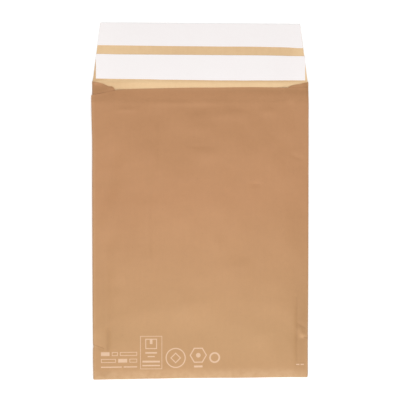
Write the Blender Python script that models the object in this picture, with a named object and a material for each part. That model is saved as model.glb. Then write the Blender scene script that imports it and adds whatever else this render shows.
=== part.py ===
# Padded paper envelope with side gussets, empty and open, lying on its back panel.
# Metres, +Z up. +X is to the right seen from the front panel, +Y points to the flap, and the
# origin lies under the middle of the outline, on the surface that the envelope rests on.

import math
from collections import namedtuple

import bmesh
import bpy

# Outer bag, one folded and glued sheet
BODY_WIDTH = 0.240
BODY_LENGTH = 0.330  # from the flap's fold to the bottom fold
MOUTH_DROP = 0.006  # how far below the flap's fold the front panel is cut
GUSSET_DEPTH = 0.024  # from the side folds in to the gusset's crease
CROWN_HEIGHT = 0.0035  # rise of the front panel over its side folds
CROWN_SIDE_SLOPE = 0.050
CROWN_BOTTOM_SLOPE = 0.070
PAPER = 0.0003
GLUE_LINE = 0.00015
GUSSET_CLEARANCE = 0.0003  # air between the two plies inside a closed gusset
LAP_WIDTH = 0.012  # side seam, hidden in the left gusset
LAP_SETBACK = 0.0005  # the seam's upper ply stops this far from the crease
LIP_LENGTH = 0.036  # front ply wrapped round the bottom and glued to the back
LIP_TAPER = 0.002
LIP_MARGIN = 0.0005  # from the lip's end to where the back panel starts to come down

# Flap, measured from its fold towards its free edge
RETURN_STRIP_MARGIN = 0.0023
RETURN_STRIP_WIDTH = 0.0283
STRIP_SPACING = 0.0096
CLOSING_STRIP_WIDTH = 0.0256
FLAP_TAPER = 0.008  # at each side, over the flap's length
FLAP_LIFT = 0.0018  # curl of the free edge
FLAP_FLATTEN = 0.007  # over this length the round side folds open flat into the flap

# Adhesive bands and the release papers on them
STRIP_SIDE_MARGIN = 0.0004
ADHESIVE_INSET = 0.002
ADHESIVE_THICKNESS = 0.0002
RELEASE_THICKNESS = 0.0002
LAMINATE_GAP = 0.0001

# Cushion liner, an embossed web that lines the bag and is folded with it
CUSHION_PAPER = 0.0004
CUSHION_GAP = 0.0003  # to the outer bag
CUSHION_BUTT_GAP = 0.0008  # between the web's two edges, at the left crease
CUSHION_MOUTH_MARGIN = 0.012
CELL_PITCH = 0.028
CELL_HEIGHT = 0.0022
FLAT_CELL_HEIGHT = 0.0008  # cells pressed flat where the folds lie on each other
FOLD_AIR = 0.0004  # left between opposite cells there

# Steps of the meshes
FOLD_STEPS = 4  # along each half turn of paper, even
BOTTOM_FOLD_STEPS = 6
LIP_STEPS = 2
FLAP_STEPS = 8
BACK_STEPS = 4

# Levels of the paper's middle surface at the sides
CUSHION_INSET = PAPER / 2 + CUSHION_GAP + CUSHION_PAPER / 2
SIDE_FOLD_RADIUS = CUSHION_INSET + CUSHION_PAPER / 2 + FLAT_CELL_HEIGHT + FOLD_AIR / 2
LAP_PLY_SPACING = PAPER + GUSSET_CLEARANCE
LEG_SPACING = LAP_PLY_SPACING + PAPER + GLUE_LINE
BACK_Z = PAPER / 2
BACK_LEG_Z = BACK_Z + 2 * SIDE_FOLD_RADIUS
FRONT_LEG_Z = BACK_LEG_Z + LEG_SPACING
FRONT_Z = FRONT_LEG_Z + 2 * SIDE_FOLD_RADIUS

# Places across the envelope
SIDE_FOLD_X = BODY_WIDTH / 2 - PAPER / 2 - SIDE_FOLD_RADIUS
CREASE_TIP_X = BODY_WIDTH / 2 - GUSSET_DEPTH
CREASE_X = CREASE_TIP_X + LEG_SPACING / 2

# Places along the envelope
FLAP_LENGTH = RETURN_STRIP_MARGIN + RETURN_STRIP_WIDTH + STRIP_SPACING + CLOSING_STRIP_WIDTH
LIP_RISE = PAPER + GLUE_LINE
BOTTOM_FOLD_RADIUS = (FRONT_Z + LIP_RISE - BACK_Z) / 2
BOTTOM_Y = -(BODY_LENGTH + FLAP_LENGTH) / 2
LAYERS_END_Y = BOTTOM_Y + PAPER / 2 + BOTTOM_FOLD_RADIUS
LIP_END_Y = LAYERS_END_Y + LIP_LENGTH + LIP_MARGIN
FLAP_FOLD_Y = BOTTOM_Y + BODY_LENGTH
MOUTH_Y = FLAP_FOLD_Y - MOUTH_DROP
CUSHION_TOP_Y = MOUTH_Y - CUSHION_MOUTH_MARGIN

Column = namedtuple("Column", "part x z step")


def steps_of(length, pitch):
    return max(1, round(length / pitch))


# Both webs share these rows, so that they are bent alike over the lip.
ROW_PITCH = CELL_PITCH / 2
LIP_ROWS = steps_of(LIP_END_Y - LAYERS_END_Y, ROW_PITCH)
UPPER_ROWS = steps_of(CUSHION_TOP_Y - LIP_END_Y, ROW_PITCH)
RAMP_END_Y = LIP_END_Y + (CUSHION_TOP_Y - LIP_END_Y) / UPPER_ROWS
CUSHION_ROWS = [
    LAYERS_END_Y + (LIP_END_Y - LAYERS_END_Y) * k / LIP_ROWS for k in range(LIP_ROWS)
] + [
    LIP_END_Y + (CUSHION_TOP_Y - LIP_END_Y) * k / UPPER_ROWS for k in range(UPPER_ROWS + 1)
]
FRONT_STEPS = 2 * steps_of(2 * SIDE_FOLD_X, CELL_PITCH)
LEG_STEPS = 2 * steps_of(SIDE_FOLD_X - CREASE_X, CELL_PITCH)


def smooth(t):
    t = min(1.0, max(0.0, t))
    return t * t * (3 - 2 * t)


def material(name, colour, roughness):
    made = bpy.data.materials.new(name)
    made.use_nodes = True
    shader = made.node_tree.nodes["Principled BSDF"]
    shader.inputs["Base Color"].default_value = (*colour, 1.0)
    shader.inputs["Roughness"].default_value = roughness
    shader.inputs["Metallic"].default_value = 0.0
    return made


def straight(part, start, end, z, steps):
    return [Column(part, start + (end - start) * k / steps, z, k) for k in range(steps)]


def fold(part, x, z, radius, start, turn):
    # Angles in degrees, from +X towards +Z
    angles = [math.radians(start + turn * k / FOLD_STEPS) for k in range(FOLD_STEPS)]
    return [
        Column(part, x + radius * math.cos(a), z + radius * math.sin(a), k)
        for k, a in enumerate(angles)
    ]


# The shared run round the bag, from the left back leg to the left front leg. Its middle surface
# lies inset inside the outer paper's, and the outside is on the right of the direction of travel.
def girth(inset, back_steps, leg_steps):
    side_radius = SIDE_FOLD_RADIUS - inset
    crease_radius = LEG_SPACING / 2 + inset
    back_fold_z = BACK_Z + SIDE_FOLD_RADIUS
    front_fold_z = FRONT_LEG_Z + SIDE_FOLD_RADIUS
    crease_z = BACK_LEG_Z + LEG_SPACING / 2
    back_leg_z = BACK_LEG_Z - inset
    front_leg_z = FRONT_LEG_Z + inset
    return (
        straight("back leg", -CREASE_X, -SIDE_FOLD_X, back_leg_z, leg_steps)
        + fold("left back fold", -SIDE_FOLD_X, back_fold_z, side_radius, 90, 180)
        + straight("back", -SIDE_FOLD_X, SIDE_FOLD_X, BACK_Z + inset, back_steps)
        + fold("right back fold", SIDE_FOLD_X, back_fold_z, side_radius, -90, 180)
        + straight("back leg", SIDE_FOLD_X, CREASE_X, back_leg_z, leg_steps)
        + fold("right crease", CREASE_X, crease_z, crease_radius, -90, -180)
        + straight("front leg", CREASE_X, SIDE_FOLD_X, front_leg_z, leg_steps)
        + fold("right front fold", SIDE_FOLD_X, front_fold_z, side_radius, -90, 180)
        + straight("front", SIDE_FOLD_X, -SIDE_FOLD_X, FRONT_Z - inset, FRONT_STEPS)
        + fold("left front fold", -SIDE_FOLD_X, front_fold_z, side_radius, 90, 180)
    )


# The bag's blank starts with the seam's lower ply, which runs in under the left front leg, and
# ends with that leg's own edge.
def bag_columns():
    lap_radius = LAP_PLY_SPACING / 2
    lap_x = -CREASE_TIP_X - lap_radius
    lap_z = BACK_LEG_Z + LAP_PLY_SPACING
    edge_x = -CREASE_TIP_X - LAP_SETBACK
    return (
        straight("lap", lap_x - LAP_WIDTH, lap_x, lap_z, 1)
        + fold("left crease", lap_x, BACK_LEG_Z + lap_radius, lap_radius, 90, -180)
        + girth(0.0, BACK_STEPS, 1)
        + straight("front leg", -SIDE_FOLD_X, edge_x, FRONT_LEG_Z, 1)
        + [Column("front leg", edge_x, FRONT_LEG_Z, 1)]
    )


# The cushion's two edges meet at the left crease.
def cushion_columns():
    crease_z = BACK_LEG_Z + LEG_SPACING / 2
    crease_radius = LEG_SPACING / 2 + CUSHION_INSET
    leg_z = FRONT_LEG_Z + CUSHION_INSET
    edge_x = -CREASE_X - CUSHION_BUTT_GAP
    return (
        fold("left crease", -CREASE_X, crease_z, crease_radius, 90, -180)
        + girth(CUSHION_INSET, FRONT_STEPS, LEG_STEPS)
        + straight("front leg", -SIDE_FOLD_X, edge_x, leg_z, LEG_STEPS)
        + [Column("front leg", edge_x, leg_z, LEG_STEPS)]
    )


def raised(column, y):
    # Everything steps up over the glued lip, and the front panel has its crown as well.
    over_lip = LIP_RISE * min(1.0, max(0.0, (RAMP_END_Y - y) / (RAMP_END_Y - LIP_END_Y)))
    if column.part != "front":
        return over_lip
    across = smooth((SIDE_FOLD_X - abs(column.x)) / CROWN_SIDE_SLOPE)
    along = smooth((y - LAYERS_END_Y) / CROWN_BOTTOM_SLOPE)
    return over_lip + CROWN_HEIGHT * across * along


def top_of(column):
    # The gusset's back legs are cut on a slant, from the crease up to the flap's fold.
    if column.part == "back" or column.part.endswith("back fold"):
        return FLAP_FOLD_Y
    if column.part == "back leg":
        share = (abs(column.x) - CREASE_X) / (SIDE_FOLD_X - CREASE_X)
        return MOUTH_Y + MOUTH_DROP * max(0.0, share)
    return MOUTH_Y


def flap_z(y):
    return BACK_Z + FLAP_LIFT * ((y - FLAP_FOLD_Y) / FLAP_LENGTH) ** 2


def flap_half_width(y):
    return BODY_WIDTH / 2 - FLAP_TAPER * (y - FLAP_FOLD_Y) / FLAP_LENGTH


def flap_point(column, step):
    y = FLAP_FOLD_Y + FLAP_LENGTH * step / FLAP_STEPS
    still_round = 1 - min(1.0, (y - FLAP_FOLD_Y) / FLAP_FLATTEN)
    x = column.x * flap_half_width(y) / flap_half_width(FLAP_FOLD_Y)
    return (x, y, flap_z(y) + (column.z - BACK_Z) * still_round)


def bottom_point(column, step):
    axis_z = BACK_Z + BOTTOM_FOLD_RADIUS
    if step <= BOTTOM_FOLD_STEPS:
        # The rounded side folds open out flat in the first part of the turn.
        turn = step / BOTTOM_FOLD_STEPS
        drop = (FRONT_Z - column.z) * (1 - smooth(turn * 3))
        radius = BOTTOM_FOLD_RADIUS - drop
        angle = math.pi * turn
        return (
            column.x,
            LAYERS_END_Y - radius * math.sin(angle),
            axis_z + radius * math.cos(angle),
        )
    along = (step - BOTTOM_FOLD_STEPS) / LIP_STEPS
    narrowed = 1 - along * LIP_TAPER / (BODY_WIDTH / 2)
    return (column.x * narrowed, LAYERS_END_Y + LIP_LENGTH * along, BACK_Z)


def web(name, columns, rows, place, thickness, materials):
    sheet = bmesh.new()
    points = {}
    for i, column in enumerate(columns):
        for j in rows:
            spot = place(i, column, j)
            if spot is not None:
                points[i, j] = sheet.verts.new(spot)
    for i, j in list(points):
        corners = [(i, j), (i, j + 1), (i + 1, j + 1), (i + 1, j)]
        if all(corner in points for corner in corners):
            sheet.faces.new([points[corner] for corner in corners])
    mesh = bpy.data.meshes.new(name)
    sheet.to_mesh(mesh)
    sheet.free()
    mesh.shade_smooth()
    for each in materials:
        mesh.materials.append(each)
    made = bpy.data.objects.new(name, mesh)
    bpy.context.collection.objects.link(made)
    wall = made.modifiers.new("Paper", "SOLIDIFY")
    wall.thickness = thickness
    wall.offset = 0.0
    wall.use_even_offset = True
    wall.material_offset = len(materials) - 1
    wall.material_offset_rim = len(materials) - 1
    return made


def outer_bag():
    columns = bag_columns()
    parts = [column.part for column in columns]
    half_fold = FOLD_STEPS // 2
    flap_first = parts.index("left back fold") + half_fold
    flap_last = parts.index("right back fold") + half_fold
    bottom_first = parts.index("right front fold") + half_fold
    bottom_last = parts.index("left front fold") + half_fold
    top_row = len(CUSHION_ROWS)

    def place(i, column, j):
        if j < 0:
            return bottom_point(column, -j) if bottom_first <= i <= bottom_last else None
        if j > top_row:
            return flap_point(column, j - top_row) if flap_first <= i <= flap_last else None
        y = top_of(column) if j == top_row else CUSHION_ROWS[j]
        return (column.x, y, column.z + raised(column, y))

    outside = material("brown_paper_outside", (0.55, 0.33, 0.17), 0.72)
    inside = material("brown_paper_inside", (0.76, 0.52, 0.29), 0.8)
    rows = range(-BOTTOM_FOLD_STEPS - LIP_STEPS, top_row + FLAP_STEPS + 1)
    return web("outer_bag", columns, rows, place, PAPER, [outside, inside])


def cell_rise(column, row, last_row):
    # One raised point for each cell, in staggered columns
    if column.step % 2 == 0 or row in (0, last_row) or "fold" in column.part:
        return 0.0
    if "crease" in column.part or (row + column.step // 2) % 2 == 0:
        return 0.0
    if column.part in ("back", "front") and abs(column.x) < CREASE_X - CELL_PITCH / 2:
        return CELL_HEIGHT
    return FLAT_CELL_HEIGHT


def cushion_liner():
    last_row = len(CUSHION_ROWS) - 1
    inward = {"back": 1, "back leg": -1, "front leg": 1, "front": -1}

    def place(i, column, j):
        y = CUSHION_ROWS[j]
        rise = cell_rise(column, j, last_row) * inward.get(column.part, 0)
        return (column.x, y, column.z + raised(column, y) + rise)

    cushion = material("cushion_paper", (0.70, 0.50, 0.30), 0.85)
    rows = range(last_row + 1)
    return web("cushion_liner", cushion_columns(), rows, place, CUSHION_PAPER, [cushion])


# A band across the flap, level with the flap's own curl. With square ends it is as wide as the
# flap is at the band's far edge, and otherwise it narrows with the flap.
def flap_band(name, start, end, base, thickness, side_margin, square_ends, made_of):
    steps = max(2, steps_of(end - start, FLAP_LENGTH / FLAP_STEPS))
    columns = [Column("band", side, 0.0, 0) for side in (-1.0, 0.0, 1.0)]

    def place(i, column, j):
        y = FLAP_FOLD_Y + start + (end - start) * j / steps
        half = flap_half_width(FLAP_FOLD_Y + end if square_ends else y) - side_margin
        return (column.x * half, y, flap_z(y) + PAPER / 2 + base + thickness / 2)

    return web(name, columns, range(steps + 1), place, thickness, [made_of])


def adhesives_and_strips():
    glue = material("hot_melt_adhesive", (0.80, 0.72, 0.52), 0.35)
    release = material("release_paper", (0.91, 0.87, 0.86), 0.42)
    return_end = RETURN_STRIP_MARGIN + RETURN_STRIP_WIDTH
    closing_start = return_end + STRIP_SPACING
    bands = {
        "return": (RETURN_STRIP_MARGIN, return_end, True),
        "closing": (closing_start, FLAP_LENGTH, False),
    }
    release_base = 2 * LAMINATE_GAP + ADHESIVE_THICKNESS
    for name, (start, end, square) in bands.items():
        glue_start = start + ADHESIVE_INSET
        glue_end = end - ADHESIVE_INSET
        margin = STRIP_SIDE_MARGIN + ADHESIVE_INSET
        flap_band(
            name + "_adhesive", glue_start, glue_end, LAMINATE_GAP, ADHESIVE_THICKNESS,
            margin, square, glue,
        )
        flap_band(
            name + "_release_strip", start, end, release_base, RELEASE_THICKNESS,
            STRIP_SIDE_MARGIN, square, release,
        )


def main():
    for old in list(bpy.data.objects):
        bpy.data.objects.remove(old)
    outer_bag()
    cushion_liner()
    adhesives_and_strips()


main()
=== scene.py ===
import math

import bmesh
import bpy
import numpy as np
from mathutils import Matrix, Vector, noise


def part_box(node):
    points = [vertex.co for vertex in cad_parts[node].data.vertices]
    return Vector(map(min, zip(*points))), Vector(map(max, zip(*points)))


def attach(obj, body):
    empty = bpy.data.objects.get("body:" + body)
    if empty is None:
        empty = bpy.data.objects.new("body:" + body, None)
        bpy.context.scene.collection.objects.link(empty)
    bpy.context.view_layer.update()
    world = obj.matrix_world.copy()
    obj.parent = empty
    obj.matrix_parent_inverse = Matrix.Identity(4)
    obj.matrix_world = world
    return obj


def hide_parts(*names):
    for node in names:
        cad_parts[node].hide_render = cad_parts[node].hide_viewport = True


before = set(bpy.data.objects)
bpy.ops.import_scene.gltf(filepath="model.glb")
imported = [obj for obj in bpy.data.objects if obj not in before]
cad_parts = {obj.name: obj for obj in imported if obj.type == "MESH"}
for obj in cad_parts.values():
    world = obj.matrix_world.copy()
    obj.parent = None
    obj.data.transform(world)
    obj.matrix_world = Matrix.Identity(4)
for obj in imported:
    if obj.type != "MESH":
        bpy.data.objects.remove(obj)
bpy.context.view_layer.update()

mm = 0.001
bagLow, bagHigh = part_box("outer_bag")
linerLow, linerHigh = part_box("cushion_liner")
returnLow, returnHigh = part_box("return_release_strip")
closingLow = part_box("closing_release_strip")[0]
print("frame loaded, bag", [round(v * 1000) for v in (bagHigh - bagLow)], "mm")


def addNode(tree, kind, settings=None, inputs=None):
    # the settings come first, then the values or links of its sockets
    made = tree.nodes.new(kind)
    for key, setting in (settings or {}).items():
        setattr(made, key, setting)
    for key, given in (inputs or {}).items():
        if isinstance(given, bpy.types.NodeSocket):
            tree.links.new(given, made.inputs[key])
        else:
            made.inputs[key].default_value = given
    return made


def added(name, data):
    # a new object in the scene
    made = bpy.data.objects.new(name, data)
    bpy.context.scene.collection.objects.link(made)
    return made


# Shader values: sums and products of them add Math nodes
class Value:
    def __init__(self, paint, socket):
        self.paint, self.socket = paint, socket

    def __add__(self, other):
        return self.paint.math("ADD", self, other)

    def __sub__(self, other):
        return self.paint.math("SUBTRACT", self, other)

    def __rsub__(self, other):
        return self.paint.math("SUBTRACT", other, self)

    def __mul__(self, other):
        return self.paint.math("MULTIPLY", self, other)

    def __truediv__(self, other):
        return self.paint.math("DIVIDE", self, other)

    __radd__ = __add__
    __rmul__ = __mul__


class Paint:
    def __init__(self, name, look):
        self.material = bpy.data.materials.new(name)
        self.material.use_nodes = True
        self.tree = self.material.node_tree
        self.shader = self.tree.nodes["Principled BSDF"]
        self.shader.inputs["Roughness"].default_value = look["roughness"]
        self.shader.inputs["Specular IOR Level"].default_value = look["specular"]
        self.place = self.node("ShaderNodeTexCoord", out="Object")

    def node(self, kind, settings=None, inputs=None, out=0):
        sockets = {key: getattr(given, "socket", given) for key, given in (inputs or {}).items()}
        return Value(self, addNode(self.tree, kind, settings, sockets).outputs[out])

    def math(self, operation, *values, clamp=False):
        settings = {"operation": operation, "use_clamp": clamp}
        return self.node("ShaderNodeMath", settings, dict(enumerate(values)))

    def clamped(self, value):
        return self.math("ADD", value, 0.0, clamp=True)

    def length(self, x, y):
        return self.math("SQRT", x * x + y * y)

    def along(self, axis):
        # one of the object coordinates, in metres
        return self.node("ShaderNodeSeparateXYZ", None, {0: self.place}, out=axis)

    def flat(self):
        # the place on the sheet, in millimetres
        return self.along("X") * 1000.0, self.along("Y") * 1000.0

    def noise(self, scale, detail=2.0, axes=(1.0, 1.0, 1.0)):
        # centred on 0, from about -0.5 to 0.5, drawn out along an axis whose scale is small
        drawn = self.node("ShaderNodeMapping", None, {"Vector": self.place, "Scale": axes})
        inputs = {"Vector": drawn, "Scale": scale, "Detail": detail}
        return self.node("ShaderNodeTexNoise", None, inputs) - 0.5

    def attribute(self, name):
        return self.node("ShaderNodeAttribute", {"attribute_name": name}, out="Fac")

    def mixed(self, factor, first, second, blend="MIX"):
        settings = {"data_type": "RGBA", "blend_type": blend, "clamp_factor": True}
        return self.node("ShaderNodeMix", settings, {0: factor, 6: first, 7: second}, out=2)

    def feed(self, **sockets):
        for name, value in sockets.items():
            self.tree.links.new(value.socket, self.shader.inputs[name.replace("_", " ")])

    def bumped(self, height, distance, strength=1.0):
        inputs = {"Height": height, "Distance": distance, "Strength": strength}
        self.feed(Normal=self.node("ShaderNodeBump", None, inputs))


def colour(red, green, blue):
    # 8-bit colour as it is seen, made linear
    def linear(v):
        v /= 255
        return v / 12.92 if v <= 0.04045 else ((v + 0.055) / 1.055) ** 2.4
    return (linear(red), linear(green), linear(blue), 1.0)


# Papers mix a deep and a light colour: "tone" is the middle, and each layer of the grain moves it
brown = {
    "deep": colour(158, 115, 70), "light": colour(201, 157, 112), "wornAndLit": colour(217, 181, 142),
    "speck": colour(150, 104, 68), "crease": colour(140, 100, 60), "ink": colour(227, 192, 161),
    "tone": 0.74, "fibre": 0.15, "formation": 0.17, "drift": 0.18, "streaks": 0.065, "painted": 0.5,
    "redderShadeTint": (1.0, 0.885, 0.88, 1.0), "warmFrom": -0.150, "warmOver": 0.155, "warmFade": 0.4,
    "speckScale": 1300.0, "speckLevel": 0.235, "speckEdge": 9.0, "speckCover": 0.5,
    "wearCover": 0.75, "wearPatches": 1.6,
    "roughness": 0.64, "roughFibre": 0.14, "roughFormation": 0.12, "specular": 0.4,
    "bump": 0.05 * mm, "bumpStrength": 0.6, "bumpFibre": 0.7, "bumpFormation": 0.8,
}
tan = {
    "deep": colour(222, 184, 139), "light": colour(239, 205, 160),
    "tone": 0.5, "fibre": 0.4, "formation": 0.45, "drift": 0.3, "streaks": 0.25, "painted": 1.0,
    "roughness": 0.78, "roughFibre": 0.12, "specular": 0.3,
    "bump": 0.05 * mm, "bumpStrength": 0.6, "bumpFormation": 0.6,
}
cut = {
    "deep": colour(206, 168, 124), "light": colour(228, 196, 156), "fibreScale": 5200.0,
    "roughness": 0.85, "specular": 0.2, "bump": 0.04 * mm,
}
padding = {
    "deep": colour(190, 152, 108), "light": colour(216, 182, 138),
    "tone": 0.5, "fibre": 0.5, "formation": 0.6, "drift": 0.3,
    "roughness": 0.88, "specular": 0.2, "bump": 0.08 * mm, "bumpStrength": 0.7, "bumpFormation": 1.0,
}
release = {
    "deep": colour(253, 246, 245), "light": colour(255, 251, 250), "tone": 0.5, "cloud": 0.5,
    "cloudScale": 240.0, "driftScale": 22.0, "fineScale": 2600.0, "roughness": 0.38, "roughCloud": 0.12,
    "specular": 0.5, "bump": 0.02 * mm, "bumpStrength": 0.5, "bumpFine": 0.4,
}
melt = {
    "deep": colour(214, 190, 140), "light": colour(236, 216, 172), "flowScale": 260.0,
    "roughness": 0.3, "roughFlow": 0.2, "specular": 0.5, "bump": 0.06 * mm,
}
# Fibres lie along the bag, with cloudy formation between them: scale, detail, how far it is drawn out
grainLayers = {
    "fibre": (2400.0, 3.0, (1.0, 0.35, 1.0)), "formation": (190.0, 4.0), "drift": (17.0, 2.0),
    "streaks": (420.0, 2.0, (1.0, 0.05, 1.0)),
}


def paperGrain(paint, look):
    return {name: paint.noise(*layer) for name, layer in grainLayers.items() if name in look}


def paperColour(paint, look, grain):
    tone = look["tone"]
    for name, layer in grain.items():
        tone = tone + layer * look[name]
    # the bag's tone attribute adds painted light and shade
    if "painted" in look:
        tone = tone + paint.attribute("tone") * look["painted"]
    return paint.mixed(paint.clamped(tone), look["deep"], look["light"])


# Plain generic marks in the lower left corner, in millimetres. The last number of each is its line in
# line widths, or 0 where it is filled.
marks = {
    "line": 0.66, "soft": 0.14, "coverage": 0.88, "patches": 0.5, "patchScale": 900.0,
    # middle, width and height
    "boxes": (
        # three rows of dashes
        (-106.25, -169.4, 9.5, 4.2, 0), (-95.7, -169.4, 6.6, 4.2, 1.1), (-80.5, -169.4, 19, 4.2, 1.1),
        (-102.75, -177, 16.5, 4.2, 1.1), (-87, -177, 10, 4.2, 0), (-75.25, -177, 8.5, 4.2, 1.1),
        (-99.5, -184, 23, 1.3, 0), (-78.5, -184, 15, 1.3, 0),
        # frame with a taped parcel over four bars
        (-55.4, -168.1, 24.4, 37, 1), (-55.4, -158.4, 13, 11.5, 1.5), (-55.4, -155.6, 3, 6, 0),
        (-55.4, -168.4, 13, 1.7, 0), (-55.4, -172.6, 8, 1.2, 0),
        (-55.4, -178.2, 19.5, 2.1, 0), (-55.4, -182.6, 19.5, 1.5, 0),
        # bar under the hexagon, and two dashes at the far corner
        (-3, -184, 9.5, 2.2, 0), (108.6, -182.8, 3.6, 1.1, 0), (113.6, -182.8, 3.6, 1.1, 0),
    ),
    # middle and reach
    "rings": ((-28.2, -174.2, 11.2, 1.9), (-3, -171.4, 2.6, 0), (15.3, -174.3, 6.1, 2.8)),
    "diamonds": ((-28.2, -174.2, 4.3, 1.7),),
    "hexagons": ((-3, -171.4, 8.4, 1.9),),
}
# Painted shade along sharp crease lines in the lower corners, in millimetres: from, to, half width, darkness
creaseShadeLines = (
    ((-103.6, -141.5), (-103.6, -164.5), 1.3, 0.17), ((-121.5, -158), (-108, -163.2), 0.4, 0.42),
    ((107.2, -108), (107.2, -184), 0.9, 0.12), ((107.6, -139), (107.6, -156), 0.7, 0.2),
    ((107.8, -137), (116.5, -142), 0.9, 0.22), ((116, -152.6), (120.5, -153.6), 0.7, 0.42),
    ((108, -181), (117.5, -180.8), 0.5, 0.18), ((58, 18.7), (65, 18.5), 0.5, 0.14),
    ((-56.1, 10), (-56.1, -62), 1.6, 0.05), ((-48.3, 98), (-48.3, 42), 1.4, 0.04),
)
# Marks and lines are only on the front panel, which lies above these heights
lowestMark, lowestLine = 5 * mm, 4 * mm


def printedMarks(paint):
    # each shape is where its distance is below 0, and the nearest one counts
    x, y = paint.flat()
    distances = {
        "boxes": lambda dx, dy, wide, tall: paint.math("MAXIMUM", dx - wide / 2, dy - tall / 2),
        "rings": lambda dx, dy, reach: paint.length(dx, dy) - reach,
        "diamonds": lambda dx, dy, reach: (dx + dy) * math.sqrt(0.5) - reach,
        "hexagons": lambda dx, dy, reach: paint.math("MAXIMUM", dy, dx * math.sqrt(0.75) + dy / 2) - reach,
    }
    nearest = None
    for kind, distance in distances.items():
        for middleX, middleY, *sizes, lines in marks[kind]:
            dx, dy = paint.math("ABSOLUTE", x - middleX), paint.math("ABSOLUTE", y - middleY)
            away, half = distance(dx, dy, *sizes), lines * marks["line"] / 2
            if lines:
                away = paint.math("ABSOLUTE", away + half) - half
            nearest = paint.math("MINIMUM", nearest, away) if nearest else away
    inked = paint.clamped(0.5 - nearest / (2 * marks["soft"]))
    onFront = paint.math("GREATER_THAN", paint.along("Z"), lowestMark)
    patches = paint.noise(marks["patchScale"]) * marks["patches"]
    return inked * onFront * paint.clamped(marks["coverage"] + patches)


def creaseShade(paint):
    # painted shade along the creases: the darkness of the darkest crease line at each place
    x, y = paint.flat()
    shade = 0.0
    for (x0, y0), (x1, y1), width, dark in creaseShadeLines:
        dx, dy = x1 - x0, y1 - y0
        t = paint.clamped(((x - x0) * dx + (y - y0) * dy) / (dx * dx + dy * dy))
        away = paint.length(x - x0 - t * dx, y - y0 - t * dy)
        shade = paint.math("MAXIMUM", shade, paint.clamped(1.0 - away / (2 * width)) * dark)
    return shade * paint.math("GREATER_THAN", paint.along("Z"), lowestLine)


def brownOutside():
    paint = Paint("brownPaperOutside", brown)
    grain = paperGrain(paint, brown)
    fibre, formation = grain["fibre"], grain["formation"]
    base = paperColour(paint, brown, grain)
    # painted shade: a redder and slightly darker tint towards the mouth, and less of it where the paper is
    # already darker
    redderShade = paint.clamped((paint.along("Y") - brown["warmFrom"]) / brown["warmOver"])
    redderShade = redderShade * paint.clamped(1.0 + paint.attribute("tone") * brown["warmFade"])
    base = paint.mixed(redderShade, base, brown["redderShadeTint"], "MULTIPLY")
    specks = paint.noise(brown["speckScale"], 1.0, (1.0, 0.4, 1.0)) - brown["speckLevel"]
    specks = paint.clamped(specks * brown["speckEdge"]) * brown["speckCover"]
    base = paint.mixed(specks, base, brown["speck"])
    # painted shade in the crease colour along the crease lines
    base = paint.mixed(creaseShade(paint), base, brown["crease"])
    # pale wear, and on the bottom roll and just above it a painted highlight as well
    patches = paint.clamped(brown["wearCover"] + formation * brown["wearPatches"])
    base = paint.mixed(paint.attribute("wear") * patches, base, brown["wornAndLit"])
    base = paint.mixed(printedMarks(paint), base, brown["ink"])
    roughness = brown["roughness"] + fibre * brown["roughFibre"] + formation * brown["roughFormation"]
    paint.feed(Base_Color=base, Roughness=roughness)
    height = fibre * brown["bumpFibre"] + formation * brown["bumpFormation"]
    paint.bumped(height, brown["bump"], brown["bumpStrength"])
    return paint.material


def innerPaper(name, look):
    # the bag's inner face, and the padding
    paint = Paint(name, look)
    grain = paperGrain(paint, look)
    paint.feed(Base_Color=paperColour(paint, look, grain))
    if "roughFibre" in look:
        paint.feed(Roughness=look["roughness"] + grain["fibre"] * look["roughFibre"])
    height = grain["fibre"] + grain["formation"] * look["bumpFormation"]
    paint.bumped(height, look["bump"], look["bumpStrength"])
    return paint.material


def cutEdge():
    paint = Paint("paperCutEdge", cut)
    fibre = paint.noise(cut["fibreScale"], 3.0)
    paint.feed(Base_Color=paint.mixed(0.5 + fibre, cut["deep"], cut["light"]))
    paint.bumped(fibre, cut["bump"])
    return paint.material


def releasePaper():
    paint = Paint("releasePaper", release)
    cloud, drift = paint.noise(release["cloudScale"], 4.0), paint.noise(release["driftScale"])
    tone = paint.clamped(release["tone"] + cloud * release["cloud"] + drift * release["cloud"])
    paint.feed(Base_Color=paint.mixed(tone, release["deep"], release["light"]),
               Roughness=release["roughness"] + cloud * release["roughCloud"])
    fine = paint.noise(release["fineScale"]) * release["bumpFine"]
    paint.bumped(cloud + fine, release["bump"], release["bumpStrength"])
    return paint.material


def hotMelt():
    paint = Paint("hotMelt", melt)
    flow = paint.noise(melt["flowScale"], 3.0, (0.3, 1.0, 1.0))
    paint.feed(Base_Color=paint.mixed(0.5 + flow, melt["deep"], melt["light"]),
               Roughness=melt["roughness"] + flow * melt["roughFlow"])
    paint.bumped(flow, melt["bump"])
    return paint.material


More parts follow.
